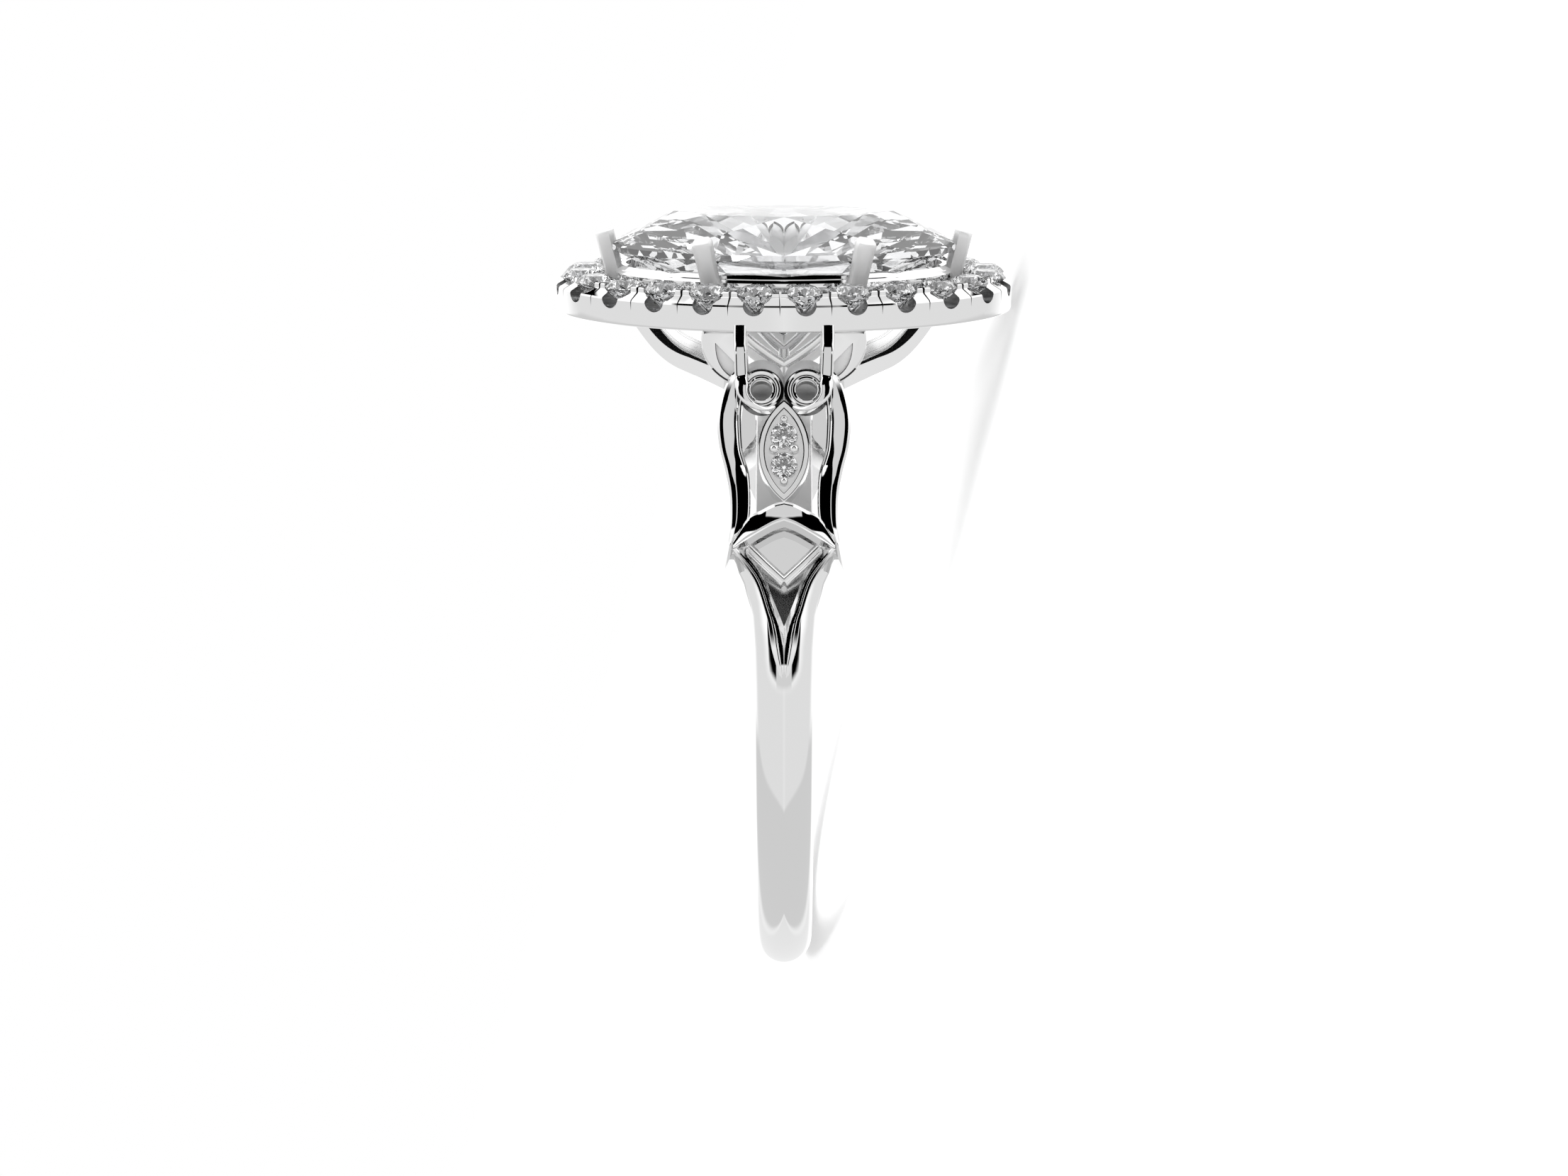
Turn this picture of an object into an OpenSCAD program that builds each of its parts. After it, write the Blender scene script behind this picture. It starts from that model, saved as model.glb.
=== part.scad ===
// Halo engagement ring, lying on its side as it rests on a table.
// Every piece is drawn with the ring upright, the finger along X, the head up Z
// and the front shoulder towards -Y, and lay_down() then puts it on the table.

/* [Band] */
// Radius of the finger hole
bore_r = 8.5; // [8.3:0.1:8.7]
// Thickness of the band under the finger
band_t = 1.65; // [1.55:0.05:1.75]
// Width of the band along the finger
band_w = 1.8; // [1.7:0.05:1.9]

/* [Shoulders] */
// Lean of the shoulder's face from upright, in degrees
lean = 28; // [27.5:0.1:28.5]
// Depth of the lyre rails behind the shoulder's face
rail_t = 1.1; // [0.9:0.1:1.3]
// Drop of a lyre rail's outer flange below its polished rib
flange_drop = 0.2; // [0.1:0.05:0.3]
// Drop of the fork's flanks below the polished V arms
flank_drop = 0.12; // [0.1:0.01:0.2]
// Radius of the scroll wire that makes the eyes
scroll_r = 0.2; // [0.18:0.01:0.22]
// Radius of the scroll wire's upright stem
stem_r = 0.22; // [0.2:0.01:0.24]

/* [Halo] */
// Half length of the line through the halo stones' centres
halo_a = 6.75; // [6.7:0.01:6.8]
// Half width of the line through the halo stones' centres
halo_b = 4.62; // [4.58:0.01:4.66]
// Girdle diameter of a halo stone
halo_stone_d = 1.3; // [1.26:0.01:1.32]
// Height of the halo plate's underside over the finger hole's centre
halo_z = 12.55; // [12.5:0.01:12.6]
// Height of the halo plate's upright wall
wall_h = 0.85; // [0.8:0.01:0.9]
// Height of the stepped rim above that wall
rim_h = 0.35; // [0.3:0.01:0.4]

/* [Centre stone] */
// Half length of the oval stone at its girdle
stone_a = 5.75; // [5.7:0.01:5.78]
// Half width of the oval stone at its girdle
stone_b = 3.4; // [3.3:0.01:3.42]
// Height of the girdle's upper edge over the finger hole's centre
stone_z = 14.68; // [14.65:0.01:14.7]
// Half length of the table
table_a = 3.61; // [3.4:0.01:3.7]
// Half width of the table
table_b = 1.8; // [1.7:0.01:2]
// Height of the table above the girdle
crown_h = 1.05; // [1:0.01:1.1]

/* [Hidden] */
$fn = 48;
halo_count = 24;
accent_v = [5.42, 4.46];
// Reach of a cut that goes right through what it meets
through = 20;
gap = 0.04;

// Band
band_outer = bore_r + band_t;
dome_r = band_w / 2;
dome_at = band_outer - dome_r;
sleeve_t = 0.8;
sleeve_from = lean + 12;

// Shoulder: u runs along the finger, v up the face from where the band's circle meets it
face_at = band_outer - 0.02;
fork_foot = -2.7;
v_tip = [0.05, -2.75];
chevron_corner = [1.53, 1.82];
chevron_peak = [0, 3.33];
pocket_depth = 0.55;
kite = [[0, 1.07], [0.85, 1.8], [0, 2.31]];
marquise_v = 4.92;
marquise_half = [0.8, 1.64];
marquise_floor = [0.6, 1.4];
marquise_t = 0.8;
floor_drop = 0.12;
accent_d = 0.82;
accent_drop = 0.06;
accent_bead_r = 0.1;
eye_u = 0.7;
eye_v = 6.87;
eye_ring_r = 0.56;
eye_depth = 1.7;
eye_hole_r = 0.36;
stem_foot = [1.3, -5.7, 10.8];
stem_bend = [1.34, -5.86, 11.95];
stem_top = [1.37, -5.34, 12.91];

// Petals and arches under the halo
petal_back = -4.6;
petal_t = 0.5;
leaf_depth = 0.15;
arch_half_w = 1.6;
arch_groove = 0.12;
strut_r = 0.17;
strut_foot = [0, -1.3, 10.85];
strut_bend = [1.17, -2.3, 11.84];

// Halo plate
wall_out = 0.78;
wall_in = 0.9;
rim_out = 0.53;
girdle_z = 13.68;
notch_r = 0.34;
slit_w = 0.08;
slit_foot_z = 13.1;
slit_from = 0.25;
seat_drop = 0.05;
seat_cone_h = 0.59;
seat_foot_r = 0.1;
// Pitches from the ring's front to the first halo stone
stone_phase = 0.412;

// Head
rail_outer = [5.6, 3.3];
rail_w = 0.37;
gallery_z = [13.64, 14.06];
prong_r = 0.32;
prong_bevel = 0.08;
side_prong = [[2.19, -2.98, 13.05], [2.6, -3.6, 15.18]];
end_prong = [[5.4, 0, 12.8], [5.94, 0, 15.06]];
prong_seat_below = 0.2;
prong_seat_above = 0.27;
girdle_t = 0.18;
pavilion_h = 2.9;

// Where the ring touches the table: the band's edge and the halo's end
halo_reach = halo_a + wall_out;
tilt = atan2(halo_reach, dome_at + halo_z) - asin(dome_r / norm([halo_reach, dome_at + halo_z]));
lift = dome_at * sin(tilt) + dome_r;
band_end = -(dome_at * cos(tilt) + dome_r);
head_end = end_prong[1][0] * sin(tilt) + end_prong[1][2] * cos(tilt);

// Cubic curve from a to d with handles b and c
function curve(a, b, c, d, n = 10) = [for (i = [0:n])
    let (t = i / n, s = 1 - t)
    s * s * s * a + 3 * s * s * t * b + 3 * s * t * t * c + t * t * t * d];
function reversed(list) = [for (i = [len(list) - 1:-1:0]) list[i]];
// Half an outline on the u > 0 side, closed by its mirror image
function mirrored(half) = concat(half, [for (p = reversed(half)) if (p[0] > 0.001) [-p[0], p[1]]]);

// Oval that runs at a distance off outside the ellipse a, b
function on_oval(a, b, off, t) = let (n = [b * cos(t), a * sin(t)])
    [a * cos(t), b * sin(t)] + off * n / norm(n);
function oval(a, b, off = 0, n = 96) = [for (i = [0:n - 1]) on_oval(a, b, off, 360 * i / n)];

// Length along the halo's centre line, as a table of length against angle
halo_steps = 720;
halo_lengths = [for (i = 0, s = 0; i <= halo_steps;
    s = s + norm(halo_point(i + 1) - halo_point(i)), i = i + 1) [s, 360 * i / halo_steps]];
halo_length = halo_lengths[halo_steps][0];
function halo_point(i) = on_oval(halo_a, halo_b, 0, 360 * i / halo_steps);
// Angle on the ellipse of the place that lies so many stone pitches from the front
function halo_angle(pitches) = lookup((0.75 + pitches / halo_count) % 1 * halo_length, halo_lengths);

module lay_down() {
    translate([-(band_end + head_end) / 2, 0, lift])
        rotate([0, 90 - tilt, 0]) children();
}

module left_right() {
    children();
    mirror([1, 0, 0]) children();
}

module front_back() {
    children();
    mirror([0, 1, 0]) children();
}

// Puts a drawing in u, v on the front shoulder's face, with its height standing outwards
module on_shoulder(u = 0, v = 0, raise = 0) {
    rotate([90 - lean, 0, 0]) translate([u, v, face_at + raise]) children();
}

// A plate of the given outline, from its top face inwards
module plate(outline, t, raise = 0) {
    on_shoulder(0, 0, raise - t) linear_extrude(t) polygon(outline);
}

module rod(from, to, r) {
    way = to - from;
    translate(from)
        rotate([0, acos(way[2] / norm(way)), atan2(way[1], way[0])])
        cylinder(h = norm(way), r = r);
}

// Section of the shoulder in Y and Z, from the finger hole out to the face
module shoulder_section(raise) {
    difference() {
        union() {
            circle(r = band_outer + raise, $fn = 96);
            rotate(180 - lean) translate([0, -4]) square([face_at + raise, 4]);
        }
        circle(r = bore_r, $fn = 96);
    }
}

// Part of the shoulder that lies under the outline, down to the finger hole
module shoulder_block(outline, raise = 0) {
    intersection() {
        plate(outline, 3, 2);
        rotate([90, 0, 90]) translate([0, 0, -3]) linear_extrude(6) shoulder_section(raise);
    }
}

// Domed band, thinned to a flat sleeve where it runs on under the head
module band() {
    difference() {
        rotate([0, 90, 0]) rotate_extrude($fn = 96) {
            translate([bore_r, -dome_r]) square([dome_at - bore_r, band_w]);
            translate([dome_at, 0]) intersection() {
                circle(r = dome_r);
                translate([0, -dome_r]) square([dome_r, band_w]);
            }
        }
        rotate([90, 0, 90]) translate([0, 0, -3]) linear_extrude(6) difference() {
            polygon([
                [0, 0],
                [-through * cos(sleeve_from), through * sin(sleeve_from)],
                [through * cos(sleeve_from), through * sin(sleeve_from)]
            ]);
            circle(r = bore_r + sleeve_t, $fn = 96);
        }
    }
}

// Band's end opened into a fork: flared flanks and two raised arms that meet in a V
module fork() {
    flanks = concat(
        [[0, fork_foot]],
        curve([dome_r, fork_foot], [0.92, -1.2], [1.02, 0.2], [1.53, 1.9]),
        [[0, 2.9]]
    );
    arms = concat(curve(v_tip, [0.28, -1.4], [0.42, 0.2], [1.56, 1.86]), [[0, 2.8]]);
    shoulder_block(mirrored(flanks), -flank_drop);
    shoulder_block(mirrored(arms), 0.05);
}

// Recess between the V arms, with the kite that goes right through
module fork_recess() {
    recess = [[0, -1.24], [0.42, 0.74], [0.93, 1.8], [0, 2.45]];
    plate(mirrored(recess), pocket_depth + 1, 1);
    plate(mirrored(kite), 4, 1);
}

module chevron() {
    outline = [[0, 2.62], chevron_corner, [1.53, 2], [1.1, 2.82], chevron_peak];
    plate(mirrored(outline), 1.2, 0.08);
}

// Right lyre rail: a flange outside, a polished rib inside and a flared foot
module lyre_rail() {
    outer = concat(
        curve([1.67, 2.7], [1.62, 3.9], [2.05, 4.6], [2.07, 5.6]),
        curve([2.07, 5.6], [2.09, 6.6], [1.75, 7.3], [1.36, 7.75])
    );
    inner = concat(
        [[1.15, 7.4]],
        curve([1.3, 6.9], [1.42, 5.9], [1.35, 4.9], [1.12, 4.35]),
        curve([1.12, 4.35], [1, 4], [1.03, 3.3], [1.06, 2.7])
    );
    rib = concat([for (p = outer) p - [0.3, 0]], inner);
    foot = [[1.05, 2.6], [1.67, 2.9], [1.7, 2.1], [1.86, 1.05], [1.5, 1.76], [1.45, 2.2]];
    plate(concat(outer, inner), rail_t - flange_drop, -flange_drop);
    plate(rib, rail_t - 0.1, 0);
    plate(foot, rail_t, -0.02);
}

// Pointed oval of two arcs, from its half width and half length
module marquise_shape(half) {
    r = (half[0] * half[0] + half[1] * half[1]) / (2 * half[0]);
    intersection() {
        translate([r - half[0], 0]) circle(r = r, $fn = 96);
        translate([half[0] - r, 0]) circle(r = r, $fn = 96);
    }
}

module marquise() {
    difference() {
        on_shoulder(0, marquise_v, -marquise_t) linear_extrude(marquise_t) marquise_shape(marquise_half);
        on_shoulder(0, marquise_v, -floor_drop) linear_extrude(1) marquise_shape(marquise_floor);
        for (v = accent_v)
            on_shoulder(0, v, -marquise_t - 0.5) cylinder(h = 2, d = accent_d + 2 * gap);
    }
    for (place = [[0, 5.96], [0.33, 4.94], [-0.33, 4.94], [0, 3.94]])
        on_shoulder(place[0], place[1], -floor_drop) sphere(r = accent_bead_r, $fn = 24);
}

// Right eye: a ring of scroll wire on a short tube, hung from the halo by its stem
module eye() {
    on_shoulder(eye_u, eye_v, -scroll_r) rotate_extrude() translate([eye_ring_r, 0]) circle(r = scroll_r, $fn = 24);
    on_shoulder(eye_u, eye_v, -eye_depth) difference() {
        cylinder(h = eye_depth - scroll_r, r = 0.73);
        translate([0, 0, -1]) cylinder(h = eye_depth + 1, r = eye_hole_r + 0.02);
    }
    rod(stem_foot, stem_bend, stem_r);
    translate(stem_bend) sphere(r = stem_r + 0.005, $fn = 24);
    rod(stem_bend, stem_top, stem_r);
}

// Right petal: a plate under the halo with a leaf sunk into its front
module petal() {
    outline = concat(
        curve([2.5, halo_z + 0.07], [2.75, 11.9], [2.35, 11.25], [1.7, 10.92]),
        [[1.1, 10.9], [1.2, halo_z + 0.07]]
    );
    leaf = concat(curve([2.12, 12.16], [2.15, 11.6], [1.95, 11.25], [1.55, 11.07]), [[1.45, 11.45]]);
    translate([0, petal_back, 0]) rotate([90, 0, 0]) difference() {
        linear_extrude(petal_t) polygon(outline);
        translate([0, 0, petal_t - leaf_depth]) linear_extrude(1) polygon(leaf);
    }
}

// Fluted ribbon that swings from the head's ends down to the sleeve
module arches() {
    low = concat(
        curve([0, 9.2], [1.1, 9.72], [2.4, 10.4], [3.3, 10.8], 6),
        curve([3.3, 10.8], [4.2, 11.1], [4.65, 12], [5.5, 13.4])
    );
    high = concat(
        curve([0, 9.58], [0.98, 10.05], [2.25, 10.74], [3.1, 11.13], 6),
        curve([3.1, 11.13], [3.9, 11.5], [4.25, 12.15], [5.1, 13.4])
    );
    groove = concat([for (p = high) p - [0, arch_groove]], [[5.1, 14.5], [0, 14.5]]);
    difference() {
        rotate([90, 0, 0]) translate([0, 0, -arch_half_w])
            linear_extrude(2 * arch_half_w) polygon(mirrored(concat(low, reversed(high))));
        for (y = [-0.55, 0.55])
            rotate([90, 0, 0]) translate([0, 0, y - 0.06]) linear_extrude(0.12) polygon(mirrored(groove));
    }
}

// Strut that carries a side prong, and the post under it
module strut() {
    rod(strut_foot, strut_bend, strut_r);
    translate(strut_bend) sphere(r = strut_r + 0.005, $fn = 24);
    rod(strut_bend, side_prong[0], strut_r);
}

module strut_post() {
    rod([0, strut_foot[1], 9.45], strut_foot + [0, 0, 0.1], strut_r + 0.05);
}

module gallery_rail() {
    translate([0, 0, gallery_z[0]]) linear_extrude(gallery_z[1] - gallery_z[0]) difference() {
        polygon(oval(rail_outer[0], rail_outer[1]));
        polygon(oval(rail_outer[0], rail_outer[1], -rail_w));
    }
}

// Round wire with a bevelled tip
module prong(ends) {
    way = ends[1] - ends[0];
    h = norm(way);
    translate(ends[0]) rotate([0, acos(way[2] / h), atan2(way[1], way[0])])
        rotate_extrude()
        polygon([[0, 0], [prong_r, 0], [prong_r, h - prong_bevel], [prong_r - prong_bevel, h], [0, h]]);
}

module prongs() {
    difference() {
        union() {
            left_right() {
                front_back() prong(side_prong);
                prong(end_prong);
            }
        }
        translate([0, 0, stone_z - girdle_t - prong_seat_below])
            linear_extrude(girdle_t + prong_seat_below + prong_seat_above)
            polygon(oval(stone_a, stone_b, gap));
    }
}

// Puts a drawing at a place on the halo's centre line, with its X axis outwards
module on_halo(pitches) {
    t = halo_angle(pitches);
    spot = on_oval(halo_a, halo_b, 0, t);
    translate([spot[0], spot[1], 0]) rotate(atan2(halo_a * sin(t), halo_b * cos(t))) children();
}

// Oval plate with a seat and a round notch for each stone and a slit between two stones
module halo_plate() {
    seat_r = halo_stone_d / 2 + gap;
    wall_top = halo_z + wall_h;
    difference() {
        union() {
            translate([0, 0, halo_z]) linear_extrude(wall_h) polygon(oval(halo_a, halo_b, wall_out));
            translate([0, 0, halo_z]) linear_extrude(wall_h + rim_h) polygon(oval(halo_a, halo_b, rim_out));
        }
        translate([0, 0, halo_z - 1]) linear_extrude(4) polygon(oval(halo_a, halo_b, -wall_in));
        for (i = [0:halo_count - 1]) {
            on_halo(i + stone_phase) {
                translate([0, 0, girdle_z - seat_drop - seat_cone_h])
                    cylinder(h = seat_cone_h, r1 = seat_foot_r, r2 = seat_r);
                translate([0, 0, girdle_z - seat_drop - 0.0001]) cylinder(h = 1, r = seat_r);
                translate([0, 0, wall_top]) rotate([0, 90, 0]) cylinder(h = 1.5, r = notch_r, $fn = 24);
            }
            on_halo(i + stone_phase + 0.5)
                translate([slit_from, -slit_w / 2, slit_foot_z]) cube([1.5, slit_w, 2]);
        }
    }
}

// All the metal of the ring, cast and soldered into one piece
module mount() {
    color("gainsboro") lay_down() {
        difference() {
            union() {
                band();
                front_back() fork();
            }
            front_back() fork_recess();
        }
        front_back() {
            chevron();
            left_right() lyre_rail();
            marquise();
            left_right() eye();
            left_right() petal();
            left_right() strut();
            strut_post();
        }
        arches();
        gallery_rail();
        prongs();
        halo_plate();
    }
}

// Point of height z on the line where two neighbouring facets meet, from the places
// where each facet's level line passes and the way that line runs
function meet(p, d, q, e) = let (
    w = q - p,
    s = (w[0] * e[1] - w[1] * e[0]) / (d[0] * e[1] - d[1] * e[0])
) p + s * d;

// Brilliant cut with its girdle's upper edge at Z 0: table of eight corners, stars,
// kites and halves above, a faceted girdle, and mains and lower halves below
module brilliant(a, b, table, crown, pavilion, girdle) {
    star_h = 0.55;
    lower_h = 0.8;
    function rim(t) = [a * cos(t), b * sin(t)];
    function along(t) = [-a * sin(t), b * cos(t)];
    function corner(t) = [table[0] * cos(t), table[1] * sin(t)];
    function kite_at(t, k) = rim(t) * (1 - k) + corner(t) * k;
    ring8 = [for (i = [0:7]) i * 45];
    table_points = [for (t = ring8) concat(corner(t), crown)];
    star_points = [for (t = ring8)
        concat(meet(kite_at(t, star_h), along(t), kite_at(t + 45, star_h), along(t + 45)), crown * star_h)];
    upper = [for (i = [0:15]) concat(rim(i * 22.5), 0)];
    lower = [for (i = [0:15]) concat(rim(i * 22.5), -girdle)];
    half_points = [for (t = ring8)
        concat(
            meet(rim(t) * (1 - lower_h), along(t), rim(t + 45) * (1 - lower_h), along(t + 45)),
            -girdle - pavilion * lower_h
        )];
    culet = [[0, 0, -girdle - pavilion]];
    points = concat(table_points, star_points, upper, lower, half_points, culet);
    // Where each group starts in the list of points
    star = 8;
    up = 16;
    low = 32;
    half = 48;
    foot = 56;
    faces = concat(
        [[for (i = [7:-1:0]) i]],
        [for (i = [0:7]) [i, (i + 1) % 8, star + i]],
        [for (i = [0:7]) [i, star + i, up + 2 * i]],
        [for (i = [0:7]) [i, up + 2 * i, star + (i + 7) % 8]],
        [for (i = [0:7]) [star + i, up + 2 * i + 1, up + 2 * i]],
        [for (i = [0:7]) [star + i, up + (2 * i + 2) % 16, up + 2 * i + 1]],
        [for (i = [0:15]) [up + i, up + (i + 1) % 16, low + (i + 1) % 16]],
        [for (i = [0:15]) [up + i, low + (i + 1) % 16, low + i]],
        [for (i = [0:7]) [half + i, low + 2 * i, low + 2 * i + 1]],
        [for (i = [0:7]) [half + i, low + 2 * i + 1, low + (2 * i + 2) % 16]],
        [for (i = [0:7]) [foot, low + 2 * i, half + i]],
        [for (i = [0:7]) [foot, half + (i + 7) % 8, low + 2 * i]]
    );
    polyhedron(points, faces);
}

module centre_stone() {
    color("aliceblue") lay_down() translate([0, 0, stone_z])
        brilliant(stone_a, stone_b, [table_a, table_b], crown_h, pavilion_h, girdle_t);
}

// Small round stone, by its girdle diameter
module round_stone(d) {
    r = d / 2;
    brilliant(r, r, [0.57 * r, 0.57 * r], 0.33 * r, 0.84 * r, 0.05 * r);
}

module halo_stone(i) {
    color("aliceblue") lay_down() on_halo(i - 1 + stone_phase)
        translate([0, 0, girdle_z]) round_stone(halo_stone_d);
}

// Stones 1 and 2 sit in the front shoulder, 3 and 4 in the back one
module accent_stone(i) {
    color("aliceblue") lay_down() mirror([0, i > 2 ? 1 : 0, 0])
        on_shoulder(0, accent_v[(i - 1) % 2], -accent_drop) round_stone(accent_d);
}

mount();
centre_stone();
for (i = [1:halo_count])
    halo_stone(i);
for (i = [1:4])
    accent_stone(i);
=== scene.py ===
# Halo engagement ring of white gold with diamonds, lying on its side on a white table.
import math

import bpy
from mathutils import Matrix, Vector


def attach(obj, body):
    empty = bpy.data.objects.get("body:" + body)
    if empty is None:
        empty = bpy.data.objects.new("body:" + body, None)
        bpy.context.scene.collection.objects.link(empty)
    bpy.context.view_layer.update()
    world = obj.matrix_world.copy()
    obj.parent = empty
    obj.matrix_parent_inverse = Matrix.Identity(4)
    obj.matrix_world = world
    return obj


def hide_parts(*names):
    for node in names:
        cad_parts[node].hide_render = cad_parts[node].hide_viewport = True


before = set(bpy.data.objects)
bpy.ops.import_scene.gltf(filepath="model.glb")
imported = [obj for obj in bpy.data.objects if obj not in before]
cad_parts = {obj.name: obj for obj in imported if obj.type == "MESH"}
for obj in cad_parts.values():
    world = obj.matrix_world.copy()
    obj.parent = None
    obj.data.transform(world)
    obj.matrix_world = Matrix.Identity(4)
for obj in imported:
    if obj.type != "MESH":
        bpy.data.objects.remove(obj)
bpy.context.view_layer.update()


# Band: the part that goes round the finger. White gold, cast, filed to a half-round outside
# and polished on a felt wheel. It widens at both shoulders, where the fork is carved into it.
# All metal is drawn upright in millimetres, the head up Z, and settle() lays it on the table.
BORE = 8.5
BAND_OUTER = 10.15
BAND_END = 38.9
BAND_SWEEP = 257.8
FACE_DEGREES = 28
FACE_LEAN = math.radians(FACE_DEGREES)
FACE_OUT = 10.13
LIE_TILT = math.radians(16.8192)
LIE_LIFT = 3.57651
LIE_SHIFT = -3.19011
MM = 0.001


def srgb(hex_colour):
    parts = [int(hex_colour[i:i + 2], 16) / 255 for i in (0, 2, 4)]
    return tuple(c / 12.92 if c <= 0.04045 else ((c + 0.055) / 1.055) ** 2.4 for c in parts) + (1.0,)


def add_node(tree, kind, settings, links):
    """Adds a node. A setting whose key names a socket, by word or number, sets that socket."""
    node = tree.nodes.new(kind)
    for key, value in settings.items():
        if isinstance(key, int) or key in node.inputs:
            node.inputs[key].default_value = value
        else:
            setattr(node, key, value)
    for key, source in links.items():
        tree.links.new(source, node.inputs[key])
    return node


# 14 carat white gold, rhodium plated and wheel polished: it mirrors the studio almost cleanly,
# with a faint orange peel and an uneven haze that soften the reflections. The peel is drawn
# at 0.5 mm, coarser than the real 0.1 mm, so that it shows at all.
def polished_gold(name, colour, roughness, ripple):
    material = bpy.data.materials.new(name)
    material.use_nodes = True
    tree = material.node_tree
    shader = tree.nodes["Principled BSDF"]
    shader.inputs["Base Color"].default_value = srgb(colour)
    shader.inputs["Metallic"].default_value = 1.0
    place = add_node(tree, "ShaderNodeTexCoord", {}, {})
    haze = add_node(tree, "ShaderNodeTexNoise", {"Scale": 900.0, "Detail": 3.0},
                    {"Vector": place.outputs["Object"]})
    rough = add_node(tree, "ShaderNodeMapRange", {"To Min": roughness * 0.6, "To Max": roughness * 1.4},
                     {"Value": haze.outputs["Fac"]})
    peel = add_node(tree, "ShaderNodeTexNoise", {"Scale": 2000.0, "Detail": 1.0},
                    {"Vector": place.outputs["Object"]})
    bump = add_node(tree, "ShaderNodeBump", {"Strength": ripple, "Distance": 0.00001},
                    {"Height": peel.outputs["Fac"]})
    tree.links.new(rough.outputs["Result"], shader.inputs["Roughness"])
    tree.links.new(bump.outputs["Normal"], shader.inputs["Normal"])
    return material


white_gold = polished_gold("white_gold_wheel_polished", "E7E7E7", 0.03, 0.02)


def loft(name, rings, runs_round=False):
    """Skins a closed outline along its stations. The ends are capped unless the path runs round."""
    rows = rings + [rings[0]] if runs_round else rings
    rows = [list(row) + [row[0]] for row in rows]
    bpy.ops.object.select_all(action="DESELECT")
    bpy.ops.mesh.primitive_grid_add(x_subdivisions=len(rows[0]) - 1, y_subdivisions=len(rows) - 1, size=1)
    obj = bpy.context.object
    obj.name = name
    for vertex, point in zip(obj.data.vertices, [p for row in rows for p in row]):
        vertex.co = point
    bpy.ops.object.mode_set(mode="EDIT")
    bpy.ops.mesh.select_all(action="SELECT")
    bpy.ops.mesh.remove_doubles(threshold=0.0004)
    bpy.ops.mesh.fill_holes(sides=0)
    bpy.ops.mesh.select_all(action="SELECT")
    bpy.ops.mesh.normals_make_consistent(inside=False)
    bpy.ops.object.mode_set(mode="OBJECT")
    return obj


lying = (Matrix.Translation((LIE_SHIFT * MM, 0, LIE_LIFT * MM))
         @ Matrix.Rotation(math.pi / 2 - LIE_TILT, 4, "Y"))


def settle(obj, name, smooth=30):
    """Lays a finished metal piece on the table, in metres, and ties it to the ring."""
    bpy.ops.object.select_all(action="DESELECT")
    obj.select_set(True)
    bpy.context.view_layer.objects.active = obj
    obj.name = name
    if not obj.data.materials:
        obj.data.materials.append(white_gold)
    obj.matrix_world = lying @ Matrix.Scale(MM, 4) @ obj.matrix_world
    bpy.ops.object.transform_apply(location=True, rotation=True, scale=True)
    bpy.ops.object.shade_smooth_by_angle(angle=math.radians(smooth))
    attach(obj, "root")
    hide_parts("mount")
    return obj


def between(value, steps):
    """Reads a smooth value off a list of place and size pairs."""
    if value <= steps[0][0]:
        return steps[0][1]
    for (start, size), (end, next_size) in zip(steps, steps[1:]):
        if value <= end:
            t = (value - start) / (end - start)
            return size + (next_size - size) * (t * t * (3 - 2 * t) + t) / 2
    return steps[-1][1]


def band_section(degrees):
    """Outline of the band where it stands at this many degrees over the front.

    The width and the dome go by the run, the distance up the face from where it turns flat.
    """
    a = math.radians(degrees)
    up = math.degrees(math.asin(math.sin(a)))
    if up > FACE_DEGREES:
        run = FACE_OUT * math.tan(math.radians(up - FACE_DEGREES))
        outer = BAND_OUTER / math.cos(math.radians(up - FACE_DEGREES))
    else:
        run = FACE_OUT * math.radians(up - FACE_DEGREES)
        outer = BAND_OUTER
    half = between(run, [(-2.7, 0.92), (-1.32, 0.94), (-0.17, 1.0), (0.7, 1.2), (1.42, 1.46), (1.95, 1.58)])
    dome = between(run, [(-4.0, 0.9), (0.0, 0.7), (1.95, 0.5)])
    outer -= between(run, [(-2.6, 0.0), (-1.4, 0.06)])
    spots = [(-half + 0.04, BORE), (half - 0.04, BORE), (half, BORE + 0.05)]
    for t in range(90, -91, -6):
        spots.append((half * math.sin(math.radians(t)), outer - dome * (1 - math.cos(math.radians(t)))))
    spots.append((-half, BORE + 0.05))
    return [Vector((x, -r * math.cos(a), r * math.sin(a))) for x, r in spots]


band = loft("band", [band_section(BAND_END - BAND_SWEEP * k / 128) for k in range(129)])


# Forks: at each shoulder the band's front is cut away between two arms, down to a kite-shaped
# opening and a pocket below it, with a bar on each side between them. Cast, then cut with a
# graver, so the walls are crisp.
def face_point(u, v, w=0.0):
    """A place on the front shoulder: u along the finger, v up the face, w out of it.

    The face is flat above v = 0 and follows the band's round below it.
    """
    lean = FACE_LEAN + min(v, 0) / FACE_OUT
    v = max(v, 0)
    out = FACE_OUT + w
    return Vector((u, v * math.sin(lean) - out * math.cos(lean), out * math.sin(lean) + v * math.cos(lean)))


def mirrored(obj, axis):
    """A copy of a piece on the other side of the ring, with its own mesh."""
    copy = obj.copy()
    copy.data = obj.data.copy()
    bpy.context.collection.objects.link(copy)
    copy.data.transform(Matrix.Scale(-1, 4, Vector(axis)))
    copy.data.flip_normals()
    return copy


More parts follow.
